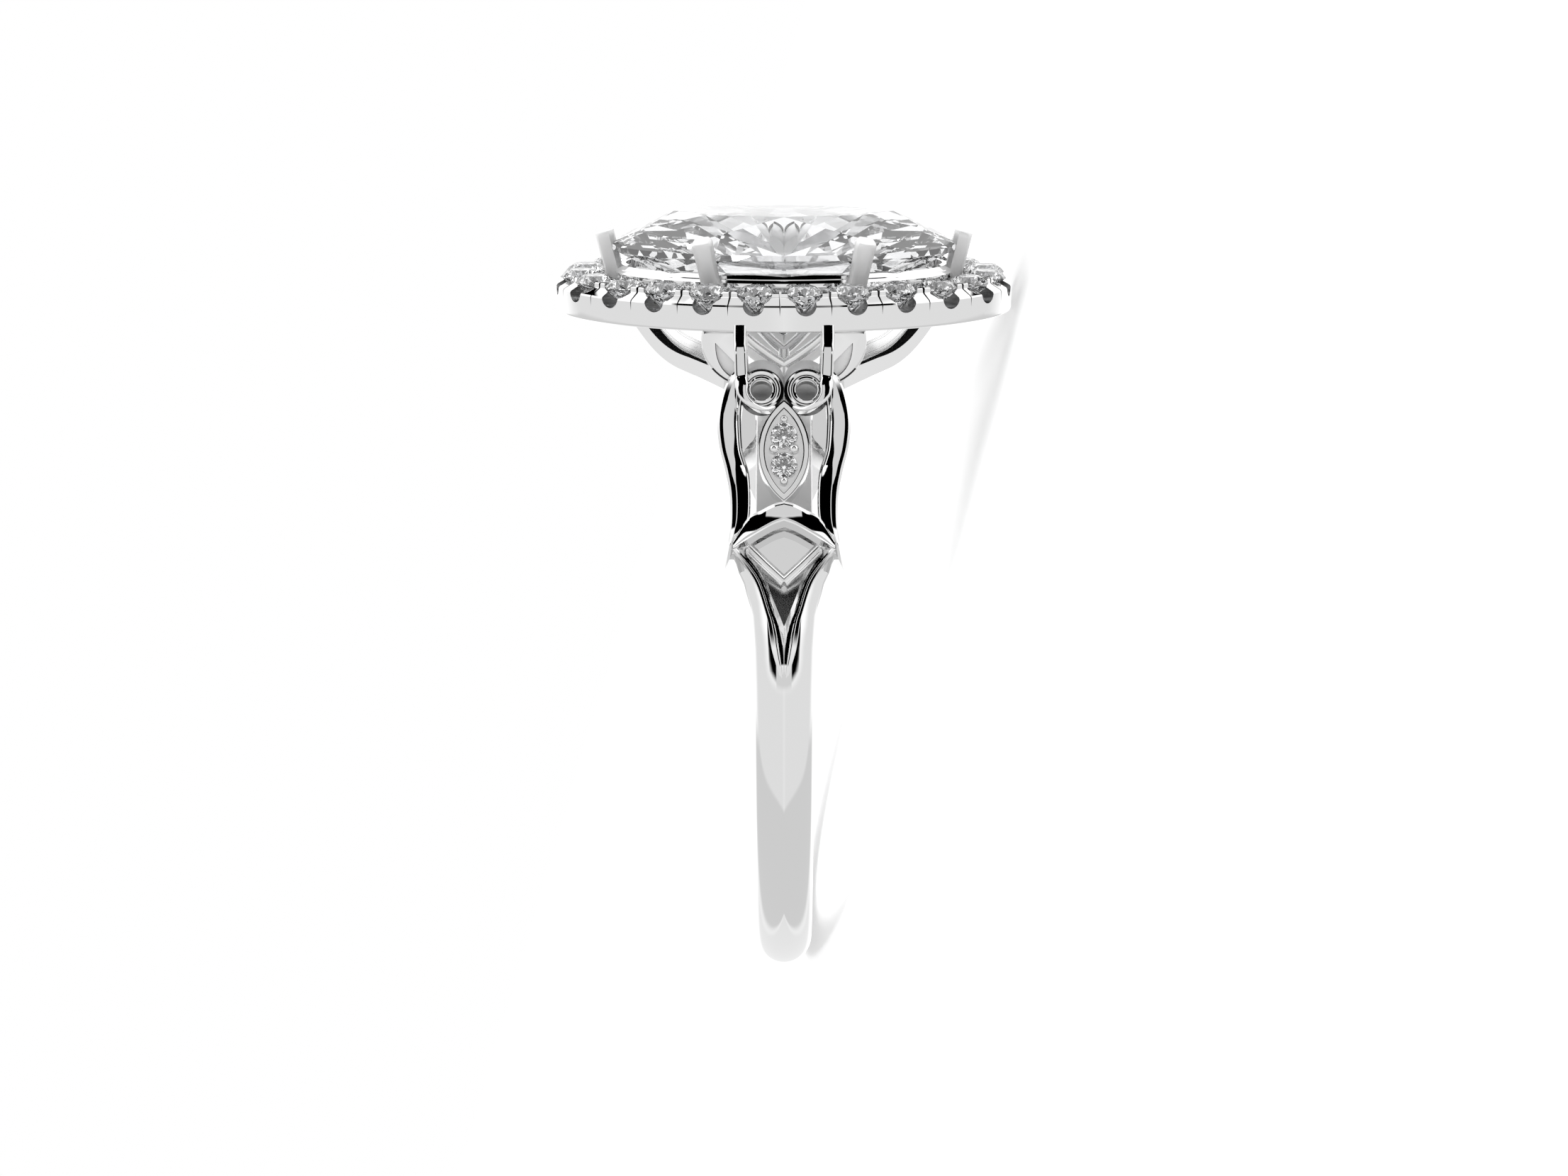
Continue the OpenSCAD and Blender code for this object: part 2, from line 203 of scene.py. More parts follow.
def cut(obj, cutters):
    """Takes cutters out of a piece, joined, and removes them."""
    bpy.ops.object.select_all(action="DESELECT")
    for cutter in cutters:
        cutter.select_set(True)
    bpy.context.view_layer.objects.active = cutters[0]
    if len(cutters) > 1:
        bpy.ops.object.join()
    tool = bpy.context.object
    bpy.ops.object.select_all(action="DESELECT")
    obj.select_set(True)
    bpy.context.view_layer.objects.active = obj
    modifier = obj.modifiers.new("cut", "BOOLEAN")
    modifier.operation = "DIFFERENCE"
    modifier.solver = "EXACT"
    modifier.object = tool
    bpy.ops.object.modifier_apply(modifier=modifier.name)
    bpy.data.objects.remove(tool)


def mirror_outline(half):
    """Closes the right half of an outline with its mirror image."""
    return half + [(-u, v) for u, v in reversed(half) if u > 0.001]


def prism(name, top, bottom, high, low):
    """A block between two outlines on the front shoulder. low is one depth or one for each place."""
    depths = low if isinstance(low, list) else [low] * len(bottom)
    return loft(name, [[face_point(u, v, high) for u, v in top],
                       [face_point(u, v, w) for (u, v), w in zip(bottom, depths)]])


# The floor of the pocket drops towards the kite, and the walls meet in a crease below it.
recess_half = [(0, -1.55), (0.14, -1.0), (0.37, -0.1), (0.62, 0.72), (0.93, 1.25), (1.32, 1.72),
               (1.25, 2.1), (0, 2.85)]
recess_top = mirror_outline(recess_half)
recess_foot = mirror_outline([(0, -0.6), (0.2, -0.05), (0.4, 0.5), (0.5, 0.85), (0.72, 1.3), (0.92, 1.7),
                              (0.86, 1.95), (0, 2.5)])
recess_fall = [(-0.6, -0.25), (0.5, -0.58), (1.3, -0.85), (2.5, -0.9)]
recess_depths = [between(v, recess_fall) for u, v in recess_foot]
kite_hole = mirror_outline([(0, 0.9), (0.88, 1.78), (0, 2.38)])
for side in ("front", "back"):
    hole = prism("kite_cutter", kite_hole, kite_hole, 1.0, -3.0)
    recess = prism("recess_cutter", recess_top, recess_foot, 0.12, recess_depths)
    for cutter in (hole, recess):
        if side == "back":
            cutter.data.transform(Matrix.Scale(-1, 4, (0, 1, 0)))
            cutter.data.flip_normals()
        cut(band, [cutter])

# The same gold inside the finger hole, rubbed with an emery stick: a pale satin that blurs
# what it mirrors. The pocket is burnished by hand, which leaves its reflections only soft.
satin_gold = polished_gold("white_gold_emery_satin", "FFFFFF", 0.6, 0.1)
burnished_gold = polished_gold("white_gold_burnished", "F0F0F0", 0.2, 0.05)
for finish in (white_gold, satin_gold, burnished_gold):
    band.data.materials.append(finish)
for face in band.data.polygons:
    x, y, z = face.center
    v = z * math.cos(FACE_LEAN) - abs(y) * math.sin(FACE_LEAN)
    if math.hypot(y, z) < BORE + 0.03:
        face.material_index = 1
    elif -1.5 < v < 2.8 and abs(x) < between(v, [(b, a) for a, b in recess_half]) - 0.02:
        face.material_index = 2
settle(band, "band", 35)


def front_and_back(obj, name, smooth=30):
    """Settles a front piece and its twin on the back shoulder."""
    back = mirrored(obj, (0, 1, 0))
    settle(obj, name + "_front", smooth)
    settle(back, name + "_back", smooth)


def four_corners(obj, name, smooth=30):
    """Settles a right front piece and its left and back twins."""
    left = mirrored(obj, (1, 0, 0))
    front_and_back(obj, name + "_right", smooth)
    front_and_back(left, name + "_left", smooth)


def through(points, count=8):
    """A smooth line through the given places."""
    points = [Vector(p) for p in points]
    ends = [2 * points[0] - points[1]] + points + [2 * points[-1] - points[-2]]
    line = []
    for a, b, c, d in zip(ends, ends[1:], ends[2:], ends[3:]):
        for k in range(count):
            t = k / count
            line.append(0.5 * (2 * b + (c - a) * t + (2 * a - 5 * b + 4 * c - d) * t * t
                               + (3 * b - a - 3 * c + d) * t * t * t))
    return line + [points[-1]]


def carve(tilts, width, flush, level, depth):
    """Section of a moulding, as across and height pairs, from the tilt of each of its facets.

    A facet starts at its share of the width and tilts by its degrees, above zero when it rises
    outwards. The place flush lies at the height level, and both sides are upright walls.
    """
    heights = [0.0]
    for (a, tilt), (b, end) in zip(tilts, tilts[1:]):
        heights.append(heights[-1] + (b - a) * width * math.tan(math.radians(tilt)))
    shift = level - heights[[t for t, tilt in tilts].index(flush)]
    spots = [(t, h + shift) for (t, tilt), h in zip(tilts, heights)]
    return [(0, -depth)] + spots + [(1, -depth)]


def moulding(name, inner, outer, section, runs_round=False):
    """Runs a section along a strip between two lines on the shoulder."""
    rings = []
    for a, b in zip(inner, outer):
        width = math.dist(a[:2], b[:2])
        rings.append([face_point(a[0] + (b[0] - a[0]) * t, a[1] + (b[1] - a[1]) * t, h)
                      for t, h in section(a, width)])
    return loft(name, rings, runs_round)


def rod(name, points, radius, sides=16):
    """A round wire through the given places."""
    line = [Vector(p) for p in points]
    rings = []
    across = None
    for k, p in enumerate(line):
        way = (line[min(k + 1, len(line) - 1)] - line[max(k - 1, 0)]).normalized()
        if across is None:
            across = way.orthogonal().normalized()
        across = (across - way * across.dot(way)).normalized()
        other = way.cross(across)
        r = radius[k] if isinstance(radius, list) else radius
        turns = [2 * math.pi * s / sides for s in range(sides)]
        rings.append([p + (across * math.cos(a) + other * math.sin(a)) * r for a in turns])
    return loft(name, rings)


bar_line = [face_point(1.08, 1.9, -0.45), face_point(0.55, 1.36, -0.42), face_point(0.0, 0.85, -0.45)]
bar = rod("kite_bar", bar_line, 0.17)
bar.data.materials.append(burnished_gold)
four_corners(bar, "kite_bar")


# Fork arms: two raised ridges that start from one point on the band and run up along the
# recess. Each is cast with a fine groove along its crown and polished.
arm_inner = through([(0.0, -2.5), (0.0, -1.9), (0.02, -1.3), (0.18, -0.55), (0.36, -0.1), (0.64, 0.75),
                     (0.98, 1.28), (1.45, 1.8)])
arm_outer = through([(0.05, -2.6), (0.2, -1.95), (0.38, -1.3), (0.49, -0.55), (0.6, -0.1), (0.84, 0.65),
                     (1.14, 1.17), (1.58, 1.78)])
arm_tilts = [(0, 50), (0.04, 18), (0.36, 45), (0.42, -18), (0.5, 18), (0.58, -45), (0.64, -18), (0.94, -50),
             (1, 0)]


def arm_section(place, width):
    """The ridge sinks a little towards its point."""
    level = between(place[1], [(-2.6, -0.05), (-1.8, 0.03), (0.0, 0.05)])
    return carve(arm_tilts, width, 0.5, level, 0.45)


four_corners(moulding("fork_arm", arm_inner, arm_outer, arm_section), "fork_arm", 12)


# Sleeve: a flat bridge that closes the finger hole under the head, soldered to the band's ends,
# where it flares to their width. Behind each kite its end is filed flat and polished.
SLEEVE_OUT = 9.3
FLAT_DEPTH = 1.0
FLAT_DEGREES = 17
EDGE = 0.04
sleeve_rings = []
for degrees in range(32, 149):
    up = min(degrees, 180 - degrees) - FACE_DEGREES
    flat_out = (FACE_OUT - FLAT_DEPTH) / math.cos(math.radians(up))
    top = flat_out if up < FLAT_DEGREES else SLEEVE_OUT
    half = between(up, [(4, 1.0), (9, 1.42), (10.5, 1.54), (12, 1.36), (14, 1.1), (16, 0.95), (18, 0.9)])
    a = math.radians(degrees)
    section = [(-half + EDGE, BORE), (half - EDGE, BORE), (half, BORE + EDGE), (half, top - EDGE),
               (half - EDGE, top), (-half + EDGE, top), (-half, top - EDGE), (-half, BORE + EDGE)]
    sleeve_rings.append([Vector((x, -r * math.cos(a), r * math.sin(a))) for x, r in section])
sleeve = loft("sleeve", sleeve_rings)
for finish in (satin_gold, white_gold):
    sleeve.data.materials.append(finish)
for face in sleeve.data.polygons:
    x, y, z = face.center
    out = abs(y) * math.cos(FACE_LEAN) + z * math.sin(FACE_LEAN)
    if abs(out - FACE_OUT + FLAT_DEPTH) < 0.02 and abs(x) < 0.3:
        face.material_index = 1
settle(sleeve, "sleeve")


# Chevrons: a roof-shaped cornice over each kite, cast with a thin bead along both edges and
# a hollow between them.
chevron_low = through([(0, 2.66), (0.35, 2.53), (0.8, 2.27), (1.2, 2.02), (1.56, 1.8)], 6)
chevron_high = through([(0, 3.29), (0.3, 3.22), (0.7, 3.03), (1.1, 2.8), (1.56, 2.02)], 6)
chevron_inner = [(-u, v) for u, v in reversed(chevron_low[1:])] + [tuple(p) for p in chevron_low]
chevron_outer = [(-u, v) for u, v in reversed(chevron_high[1:])] + [tuple(p) for p in chevron_high]


def chevron_section(place, width):
    """The hollow is flat at the peak and turns up towards both corners."""
    turn = between(abs(place[0]), [(0.0, 3.5), (0.25, 5.5), (0.5, 9.0), (0.9, 16.0)])
    tilts = [(0, -27), (0.14, 45)]
    tilts += [(0.18 + 0.08 * k, 10 * k / 7 - turn) for k in range(8)]
    tilts += [(0.82, -14), (0.88, -27), (1, 0)]
    return carve(tilts, width, 0.14, 0.04, 0.75)


front_and_back(moulding("chevron", chevron_inner, chevron_outer, chevron_section), "chevron", 12)


# Lyre rails: the pair of swelling uprights of each shoulder. Each has a polished rib inside, a
# thin bead outside and a hollow between them, and ends below in a flared foot.
rail_inner = through([(1.53, 1.78), (1.49, 2.1), (1.27, 2.45), (1.07, 2.81), (1.04, 3.64), (1.1, 4.3),
                      (1.28, 4.94), (1.34, 5.8), (1.32, 6.42), (1.22, 7.0), (1.08, 7.45)], 6)
rail_outer = through([(1.86, 1.06), (1.77, 1.65), (1.69, 2.2), (1.66, 2.79), (1.69, 3.6), (1.83, 4.35),
                      (2.0, 5.05), (2.08, 5.8), (1.98, 6.55), (1.76, 7.2), (1.36, 7.75)], 6)


def rail_section(place, width):
    """The facet that turns inwards widens towards the foot, and the outer half turns out above."""
    v = place[1]
    wide = between(v, [(2.0, 0.3), (2.5, 0.62), (3.9, 0.62), (4.25, 0.56), (4.6, 0.44), (5.4, 0.28)])
    line = between(v, [(2.0, 36), (2.5, 18), (4.0, 18), (4.5, 36)])
    flat = between(v, [(2.0, 0), (2.5, -18), (3.8, -18), (4.2, 0), (6.0, 0), (6.5, -18)])
    tilts = [(0, 50), (0.05, -45), (0.1, 18), (0.15, line), (0.2, 18), (wide, 7), (wide + 0.04, 0),
             (0.67, flat), (0.74, -18), (0.89, -42), (1, 0)]
    return carve(tilts, width, 0.74, -0.02, 1.05)


four_corners(moulding("lyre_rail", rail_inner, rail_outer, rail_section), "lyre_rail", 15)


# Marquise bezels: a pointed oval wall between the rails, with a sunk floor that carries two
# small stones and four beads. Cast with the shoulder, bright cut on the rim.
MARQUISE_V = 4.92
ACCENT_V = (5.42, 4.46)
ACCENT_SEAT = 0.44


def pointed_oval(half_u, half_v, count=20):
    """Outline of two arcs that meet in a point above and below."""
    r = (half_u ** 2 + half_v ** 2) / (2 * half_u)
    reach = math.asin(half_v / r)
    side = []
    for k in range(count + 1):
        a = -reach + 2 * reach * k / count
        side.append((r * math.cos(a) - r + half_u, MARQUISE_V + r * math.sin(a)))
    return side + [(-u, v) for u, v in reversed(side[1:-1])]


rim_out = pointed_oval(0.8, 1.64)
rim_in = pointed_oval(0.6, 1.36)
rim_tilts = [(0, 45), (0.12, 18), (0.16, 0), (0.42, 0), (0.77, -40), (0.81, 40), (0.85, -10), (0.92, -45),
             (1, 0)]


def rim_section(place, width):
    """The rim has the same facets all round."""
    return carve(rim_tilts, width, 0.42, 0.0, 0.8)


def stripe(obj, finishes, columns, count):
    """Gives strips of a lofted piece a finish of their own, by their place in its profile."""
    for finish in finishes:
        obj.data.materials.append(finish)
    for k, face in enumerate(obj.data.polygons):
        face.material_index = columns.get(k % count, 0)


# Lines cut with a graver are coloured near-black: the cuts are real, and their dark colour is
# painted shade and painted dark reflection, drawn as fine dark strokes. The rim has one along
# its inner edge and one near its outer.
painted_shade_gold = polished_gold("white_gold_painted_shade_line", "242424", 0.35, 0.1)
rim = moulding("marquise_rim", rim_in, rim_out, rim_section, True)
stripe(rim, [white_gold, painted_shade_gold], {1: 1, 5: 1, 6: 1}, len(rim_tilts) + 2)
front_and_back(rim, "marquise_rim", 15)

floor_outline = pointed_oval(0.62, 1.38)
floor_plate = prism("marquise_floor", floor_outline, floor_outline, -0.12, -0.7)
seat_drills = []
for v in ACCENT_V:
    turns = [math.radians(a) for a in range(0, 360, 10)]
    circle = [(ACCENT_SEAT * math.cos(a), v + ACCENT_SEAT * math.sin(a)) for a in turns]
    seat_drills.append(prism("seat_drill", circle, circle, 0.5, -1.5))
cut(floor_plate, seat_drills)

# The sunk floor is rubbed matt with a fibre brush, a soft grey that sets off the stones.
floor_plate.data.materials.append(polished_gold("white_gold_fibre_brushed", "F4F4F4", 0.3, 0.1))
front_and_back(floor_plate, "marquise_floor", 30)

beads = [(0, 5.93, 0.12), (0.31, 4.97, 0.15), (-0.31, 4.97, 0.15), (0, 3.93, 0.12)]
for number, (u, v, r) in enumerate(beads):
    bpy.ops.object.select_all(action="DESELECT")
    bpy.ops.mesh.primitive_uv_sphere_add(segments=32, ring_count=20, radius=r,
                                         location=face_point(u, v, 0.02))
    bead = bpy.context.object
    bpy.ops.object.transform_apply(location=True, rotation=True, scale=True)
    front_and_back(bead, f"grain_bead_{number + 1}", 60)


# Scroll eyes: two rolled ends of scroll wire above each marquise. Each is a round hoop with a
# fine collar inside, on a short horizontal tube that is soldered to the arches behind. The
# groove round the collar and the hoop's outer edge are painted dark: painted shade and painted
# dark reflection.
EYE_U = 0.7
EYE_V = 6.87
HOOP_IN = 0.35
HOOP_OUT = 0.69
HOOP_STEPS = 72
hoop_tilts = [(0, 30), (0.06, -18), (0.24, 0), (0.3, -55), (0.35, 55), (0.4, 0), (0.52, 18), (0.66, 0),
              (0.72, -18), (0.86, -50), (1, 0)]
hoop_width = HOOP_OUT - HOOP_IN
hoop_section = carve(hoop_tilts, hoop_width, 0.4, 0.05, 0.5)
hoop_profile = [(HOOP_IN + t * hoop_width, h) for t, h in hoop_section]
hoop_rings = []
for k in range(HOOP_STEPS):
    a = 2 * math.pi * k / HOOP_STEPS
    hoop_rings.append([face_point(EYE_U + r * math.cos(a), EYE_V + r * math.sin(a), h)
                       for r, h in hoop_profile])
hoop = loft("eye_hoop", hoop_rings, True)
# The dark strips of the hoop are painted shade and painted dark reflection.
stripe(hoop, [white_gold, painted_shade_gold], {4: 1, 5: 1, 10: 1, 11: 1}, len(hoop_profile))
four_corners(hoop, "eye_hoop", 12)

# The tube is closed half a millimetre behind the hoop. Its end is rough and painted a darker
# grey that hardly mirrors, as painted shade deep in the eye, and the rest is satin.
TUBE_STEPS = 48
matt_shaded_gold = polished_gold("white_gold_matt_painted_shade", "B0B0B0", 0.34, 0.3)
centre = face_point(EYE_U, EYE_V, -0.25)
tube_profile = [(0.0, 0.5), (0.36, 0.5), (0.36, 0.0), (0.66, 0.0), (0.7, 0.3), (0.72, 1.75), (0.69, 1.8),
                (0.0, 1.8)]
tube_rings = []
for k in range(TUBE_STEPS):
    a = 2 * math.pi * k / TUBE_STEPS
    tube_rings.append([centre + Vector((r * math.cos(a), y, r * math.sin(a))) for r, y in tube_profile])
tube = loft("eye_tube", tube_rings, True)
for finish in (satin_gold, matt_shaded_gold):
    tube.data.materials.append(finish)
for face in tube.data.polygons:
    across = math.hypot(face.center.x - centre.x, face.center.z - centre.z)
    # The closed end is painted darker, as shade deep in the eye.
    if across < 0.3 and face.center.y < centre.y + 1:
        face.material_index = 1
four_corners(tube, "eye_tube", 40)


# Stems: from below each eye the scroll wire turns round it and runs straight up to the halo's
# wall, where it is soldered. It is a flat wire with a slightly crowned face and soft edges.
def ribbon(name, points, faces_out, profile, sizes):
    """A wire with its own profile of across and height pairs. faces_out gives its top's way."""
    rings = []
    for k, p in enumerate(points):
        way = (points[min(k + 1, len(points) - 1)] - points[max(k - 1, 0)]).normalized()
        out = faces_out[k]
        out = (out - way * out.dot(way)).normalized()
        across = way.cross(out)
        rings.append([p + across * x * sizes[k] + out * h for x, h in profile])
    return loft(name, rings)


TURN_STEPS = 18
TURN_DEGREES = 125
TWIST_START = 17
TWIST_STEPS = 8
front = Vector((0, -1, 0))
face_way = face_point(0.3, 0, 1) - face_point(0, 0, 0)
stem_line = []
stem_out = []
stem_sizes = []
for k in range(TURN_STEPS + 1):
    a = math.radians(-TURN_DEGREES + TURN_DEGREES * k / TURN_STEPS)
    turn_r = 0.66 - 0.06 * (k / TURN_STEPS) ** 2
    rise = between(a, [(-2.2, -0.08), (-0.9, 0.42), (0.0, 0.44)])
    stem_line.append(face_point(EYE_U + turn_r * math.cos(a), EYE_V + turn_r * math.sin(a), rise))
    stem_out.append(face_way)
    stem_sizes.append(between(a, [(-2.0, 0.4), (-1.2, 0.5), (0.0, 1.0)]))
upper = [(1.31, -6.03, 11.13), (1.32, -5.95, 11.24), (1.33, -5.895, 11.34), (1.34, -5.81, 11.6),
         (1.35, -5.71, 11.92), (1.36, -5.655, 12.1), (1.37, -5.5, 12.32), (1.37, -5.24, 12.74)]
for p in through(upper, 6):
    stem_line.append(p)
    stem_out.append(front)
    stem_sizes.append(1.0)

# As it leaves the eye, the wire twists from the shoulder's lean to face the front.
for k in range(TWIST_STEPS):
    t = (k + 1) / (TWIST_STEPS + 1)
    stem_out[TWIST_START + k] = (face_way * (1 - t) + front * t).normalized()
stem_half = [(0.15, -0.2), (0.2, -0.12), (0.2, 0.034), (0.175, 0.0775), (0.155, 0.0915), (0.13, 0.1006),
             (0.1, 0.107), (0.05, 0.111)]
stem_profile = stem_half + [(-x, h) for x, h in reversed(stem_half)]
four_corners(ribbon("stem", stem_line, stem_out, stem_profile, stem_sizes), "stem", 28)


# Petals: four plates that carry the halo on both sides of the stems. Each is sawn out of sheet
# with a rounded rim, and a leaf is sunk into its front with a flat graver.
def bezier(a, b, c, d, count=12):
    """A curve from a to d that leaves towards b and comes in from c."""
    line = []
    for k in range(count + 1):
        t = k / count
        s = 1 - t
        line.append(tuple(s ** 3 * p + 3 * s * s * t * q + 3 * s * t * t * r + t ** 3 * w
                          for p, q, r, w in zip(a, b, c, d)))
    return line


def plate(name, outline, thickness, rim, place):
    """A plate with a rounded rim."""
    flat = bpy.data.curves.new(name, "CURVE")
    flat.dimensions = "2D"
    flat.fill_mode = "BOTH"
    flat.extrude = thickness / 2 - rim
    flat.bevel_depth = rim
    flat.bevel_resolution = 3
    flat.offset = -rim
    spline = flat.splines.new("POLY")
    spline.points.add(len(outline) - 1)
    for point, (x, y) in zip(spline.points, outline):
        point.co = (x, y, 0, 1)
    spline.use_cyclic_u = True
    obj = bpy.data.objects.new(name, flat)
    bpy.context.collection.objects.link(obj)
    bpy.ops.object.select_all(action="DESELECT")
    obj.select_set(True)
    bpy.context.view_layer.objects.active = obj
    bpy.ops.object.convert(target="MESH")
    obj = bpy.context.object
    bpy.ops.object.mode_set(mode="EDIT")
    bpy.ops.mesh.select_all(action="SELECT")
    bpy.ops.mesh.remove_doubles(threshold=0.0004)
    bpy.ops.mesh.normals_make_consistent(inside=False)
    bpy.ops.object.mode_set(mode="OBJECT")
    obj.data.transform(place)
    return obj


petal_edge = bezier((2.54, 12.58), (2.72, 11.9), (2.38, 11.28), (1.75, 10.95))
petal_edge += [(1.1, 10.85), (1.15, 12.58)]
leaf = bezier((2.13, 12.18), (2.15, 11.65), (1.95, 11.27), (1.55, 11.07)) + [(1.42, 11.45)]
petal_place = Matrix.Translation((0, -4.85, 0)) @ Matrix.Rotation(math.pi / 2, 4, "X")
petal = plate("petal", petal_edge, 0.55, 0.12, petal_place)
LEAF_X = 1.75
LEAF_Z = 11.6
leaf_ends = [[Vector((LEAF_X + (x - LEAF_X) * grow, y, LEAF_Z + (z - LEAF_Z) * grow)) for x, z in leaf]
             for y, grow in ((-5.3, 1.1), (-5.0, 1.0))]
cut(petal, [loft("leaf_cutter", leaf_ends)])

# The leaf's floor is rubbed satin, and the walls round it are painted dark, as painted shade.
for finish in (white_gold, satin_gold, painted_shade_gold):
    petal.data.materials.append(finish)
for face in petal.data.polygons:
    x, y, z = face.center
    if 1.3 < x < 2.25 and 11.0 < z < 12.3 and -5.12 < y < -4.98:
        face.material_index = 1 if abs(face.normal.y) > 0.95 else 2
four_corners(petal, "petal", 40)


# Arches: one wide strap that swings from the halo's ends down to the sleeve, bent from cast
# strip. Its upper face is burnished, with three engraved lines along each side painted dark, and
# its bevelled edges are painted dark where they near the halo: painted shade and painted dark
# reflection.
ARCH_HALF = 1.7
ARCH_TOP = 0.31
BEVEL_SLOPE = 1.7
arch_line = bezier((0, 9.42), (1.05, 9.9), (2.3, 10.57), (3.2, 10.96), 10)
arch_line += bezier((3.2, 10.96), (4.05, 11.3), (4.45, 12.07), (5.3, 13.38), 16)[1:]
arch_line = [(-x, z) for x, z in reversed(arch_line[1:])] + arch_line
engraved = [(1.5, 0.33), (1.37, 0.33), (1.35, 0.27), (1.33, 0.33), (1.17, 0.33), (1.15, 0.27), (1.13, 0.33),
            (0.85, 0.33), (0.83, 0.27), (0.81, 0.33)]
arch_rings = []
for k, (x, z) in enumerate(arch_line):
    a = arch_line[max(k - 1, 0)]
    b = arch_line[min(k + 1, len(arch_line) - 1)]
    along = Vector((b[0] - a[0], 0, b[1] - a[1])).normalized()
    up = Vector((-along.z, 0, along.x))
    bevel = between(abs(x), [(2.0, 0.03), (3.2, 0.06), (4.4, 0.15)])
    half = [(ARCH_HALF, -0.26), (ARCH_HALF, ARCH_TOP - BEVEL_SLOPE * bevel), (ARCH_HALF - bevel, ARCH_TOP)]
    half += engraved
    ring = half + [(-y, h) for y, h in reversed(half)]
    arch_rings.append([Vector((x, y, z)) + up * h for y, h in ring])
arches = loft("arches", arch_rings)

# Strips are counted from one lower edge over the top to the other, and mirror at the middle.
last = len(ring) - 2
bevels = (1, last - 1)
arch_columns = {2: 1, 3: 1, 4: 2, 5: 2, 6: 1, 7: 2, 8: 2, 9: 1, 10: 2, 11: 2}
arch_columns.update({last - k: finish for k, finish in arch_columns.items()})
arch_columns[last // 2] = 1
stripe(arches, [white_gold, burnished_gold, painted_shade_gold], arch_columns, len(ring))
# Bevels near the halo are painted dark, as shade under it.
for k, face in enumerate(arches.data.polygons):
    if k % len(ring) in bevels and abs(face.center.x) > 2.6:
        face.material_index = 2
settle(arches, "arches", 20)


# Struts: wires that rise from a post on the arches and fork to the four side prongs, burnished
# by hand after soldering.
strut_wire = [(0, -1.3, 10.85), (0.5, -1.68, 11.22), (1.17, -2.3, 11.84), (1.7, -2.67, 12.45),
              (2.2, -3.02, 13.15)]
strut = rod("strut", through(strut_wire, 5), 0.17)
strut.data.materials.append(burnished_gold)
four_corners(strut, "strut", 60)
post_line = [(0, -1.3, 9.45), (0, -1.3, 10.2), (0, -1.3, 10.95)]
front_and_back(rod("strut_post", post_line, [0.24, 0.2, 0.19]), "strut_post", 60)


# Gallery rail: the oval wire under the centre stone, drawn round above and flat below, bent
# to the stone's outline and soldered between the prongs.
def on_oval(a, b, off, t):
    """A place at this distance outside an ellipse, at its angle t."""
    across = Vector((b * math.cos(t), a * math.sin(t), 0)).normalized()
    return Vector((a * math.cos(t), b * math.sin(t), 0)) + across * off


def oval_moulding(name, a, b, profile, count=192):
    """Runs a profile of outward and height pairs round an ellipse."""
    rings = []
    for k in range(count):
        t = 2 * math.pi * k / count
        rings.append([on_oval(a, b, off, t) + Vector((0, 0, z)) for off, z in profile])
    return loft(name, rings, True)


GALLERY_A = 5.6
GALLERY_B = 3.3
gallery_section = [(-0.37, 13.64), (0, 13.64), (-0.014, 13.78), (-0.094, 13.87), (-0.106, 13.9),
                   (-0.2, 14.03), (-0.37, 14.05)]
settle(oval_moulding("gallery_rail", GALLERY_A, GALLERY_B, gallery_section), "gallery_rail", 8)


# Prongs: six wires that hold the centre stone. Each is filed a little waisted and cut off
# flat above the stone, with a softened tip, and keeps the satin of the emery stick.
prong_half = [(0.2, -0.3), (0.3, -0.16), (0.31, 0.12), (0.27, 0.22), (0.2, 0.27), (0.1, 0.29)]
prong_profile = [(-0.2, -0.3)] + prong_half + [(-x, h) for x, h in reversed(prong_half[1:])]


def prong(foot, tip, out):
    """A prong from its foot to its tip, with its flat front facing out."""
    sizes = [(0.0, 1.0), (0.3, 0.94), (0.6, 0.95), (0.85, 1.02), (0.92, 1.06), (0.96, 1.05), (0.985, 0.98),
             (1.0, 0.84)]
    line = [Vector(foot).lerp(Vector(tip), t) for t, size in sizes]
    obj = ribbon("prong", line, [Vector(out)] * len(line), prong_profile, [size for t, size in sizes])
    obj.data.materials.append(satin_gold)
    return obj


four_corners(prong((2.19, -2.98, 13.05), (2.6, -3.6, 15.18), (0.2, -0.98, 0)), "side_prong", 30)
end_prong = prong((5.4, 0, 12.8), (5.94, 0, 15.06), (1, 0, 0))
settle(mirrored(end_prong, (1, 0, 0)), "end_prong_left", 30)
settle(end_prong, "end_prong_right", 30)


# Halo: the oval plate round the head with 24 stones. Its wall is turned smooth, a notch is
# milled under each stone, and thin saw cuts between the stones leave fishtail prongs.
HALO_A = 6.75
HALO_B = 4.62
HALO_COUNT = 24
STONE_PHASE = 0.412
OVAL_STEPS = 2880
NOTCH_R = 0.33
NOTCH_Z = 13.4

halo_section = [(-0.9, 12.6), (-0.85, 12.55), (0.7, 12.55), (0.76, 12.58), (0.78, 12.64), (0.78, 13.34),
                (0.748, 13.395), (0.43, 13.57), (0.4, 13.6), (0.4, 13.72), (0.37, 13.75), (-0.5, 13.75),
                (-0.53, 13.72), (-0.53, 13.45), (-0.56, 13.42), (-0.87, 13.4), (-0.9, 13.37)]
halo = oval_moulding("halo", HALO_A, HALO_B, halo_section, 240)

# The stones stand evenly along the oval's length, so the length is added up in small steps.
lengths = [0.0]
angles = [2 * math.pi * k / OVAL_STEPS - math.pi / 2 for k in range(OVAL_STEPS + 1)]
spots = [on_oval(HALO_A, HALO_B, 0, t) for t in angles]
for a, b in zip(spots, spots[1:]):
    lengths.append(lengths[-1] + (b - a).length)


